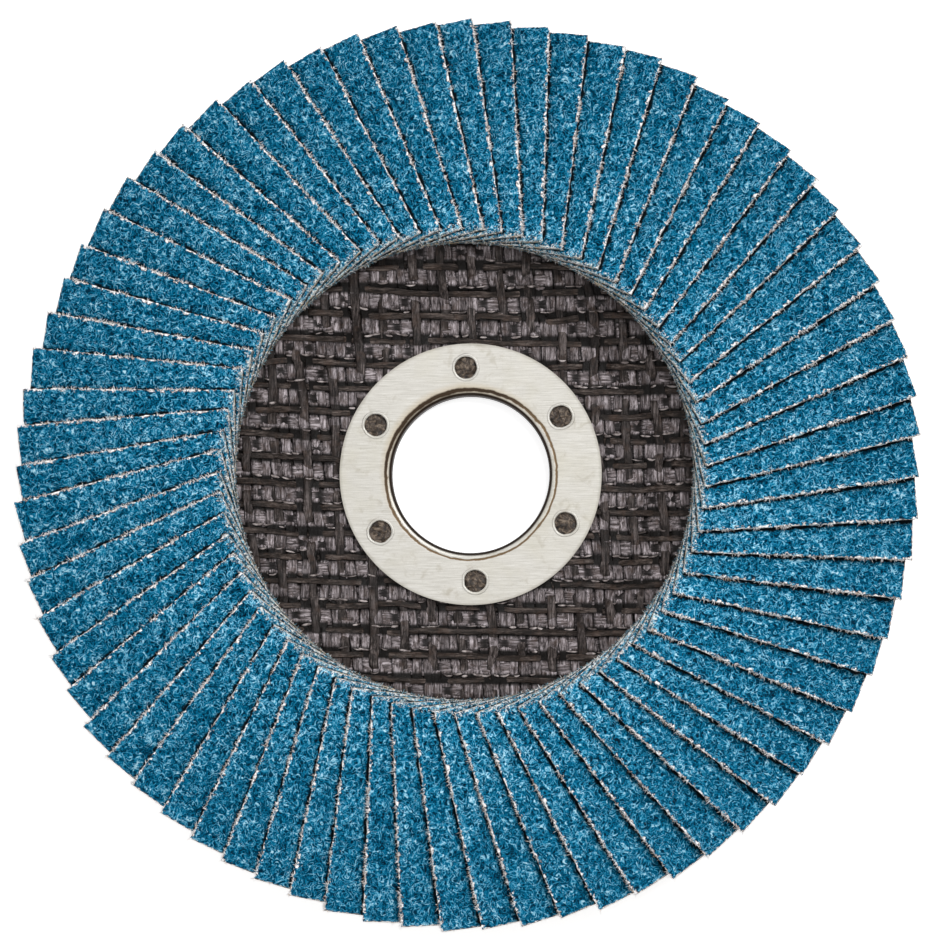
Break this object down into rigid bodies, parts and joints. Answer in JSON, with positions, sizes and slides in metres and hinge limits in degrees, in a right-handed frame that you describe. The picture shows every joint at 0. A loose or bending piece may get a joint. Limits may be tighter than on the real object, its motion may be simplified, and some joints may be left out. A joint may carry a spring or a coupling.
{
  "type": "flap disc",
  "caption": "Abrasive flap disc with overlapped coated cloth flaps on a dished woven glass backing plate with a pressed steel centre ring.",
  "frame": {"origin": "on the arbor bore's axis, in the plane of the back mounting face, on which the disc lies", "axes": "+Z along the bore's axis from the back face to the abrasive face; +Y and +X are arbitrary directions in the disc's plane"},
  "size_m": [0.1264, 0.1276, 0.0134],
  "materials": {
    "backing": "woven glass cloth in dark cured resin",
    "ring_steel": "fine straight brushed lines, tin-bright",
    "adhesive": "cured resin",
    "abrasive_cloth": "blue zirconia grain on polyester-cotton cloth"
  },
  "bodies": {
    "root": {"backing_plate": "backing", "centre_ring": "ring_steel", "adhesive_bead": "adhesive", "flap_pair_01": "abrasive_cloth", "flap_pair_02": "abrasive_cloth", "flap_pair_03": "abrasive_cloth", "flap_pair_04": "abrasive_cloth", "flap_pair_05": "abrasive_cloth", "flap_pair_06": "abrasive_cloth", "flap_pair_07": "abrasive_cloth", "flap_pair_08": "abrasive_cloth", "flap_pair_09": "abrasive_cloth", "flap_pair_10": "abrasive_cloth", "flap_pair_11": "abrasive_cloth", "flap_pair_12": "abrasive_cloth", "flap_pair_13": "abrasive_cloth", "flap_pair_14": "abrasive_cloth", "flap_pair_15": "abrasive_cloth", "flap_pair_16": "abrasive_cloth", "flap_pair_17": "abrasive_cloth", "flap_pair_18": "abrasive_cloth", "flap_pair_19": "abrasive_cloth", "flap_pair_20": "abrasive_cloth", "flap_pair_21": "abrasive_cloth", "flap_pair_22": "abrasive_cloth", "flap_pair_23": "abrasive_cloth", "flap_pair_24": "abrasive_cloth", "flap_pair_25": "abrasive_cloth", "flap_pair_26": "abrasive_cloth", "flap_pair_27": "abrasive_cloth", "flap_pair_28": "abrasive_cloth", "flap_pair_29": "abrasive_cloth", "flap_pair_30": "abrasive_cloth", "flap_pair_31": "abrasive_cloth", "flap_pair_32": "abrasive_cloth", "flap_pair_33": "abrasive_cloth", "flap_pair_34": "abrasive_cloth", "flap_pair_35": "abrasive_cloth", "flap_pair_36": "abrasive_cloth"}
  },
  "joints": []
}
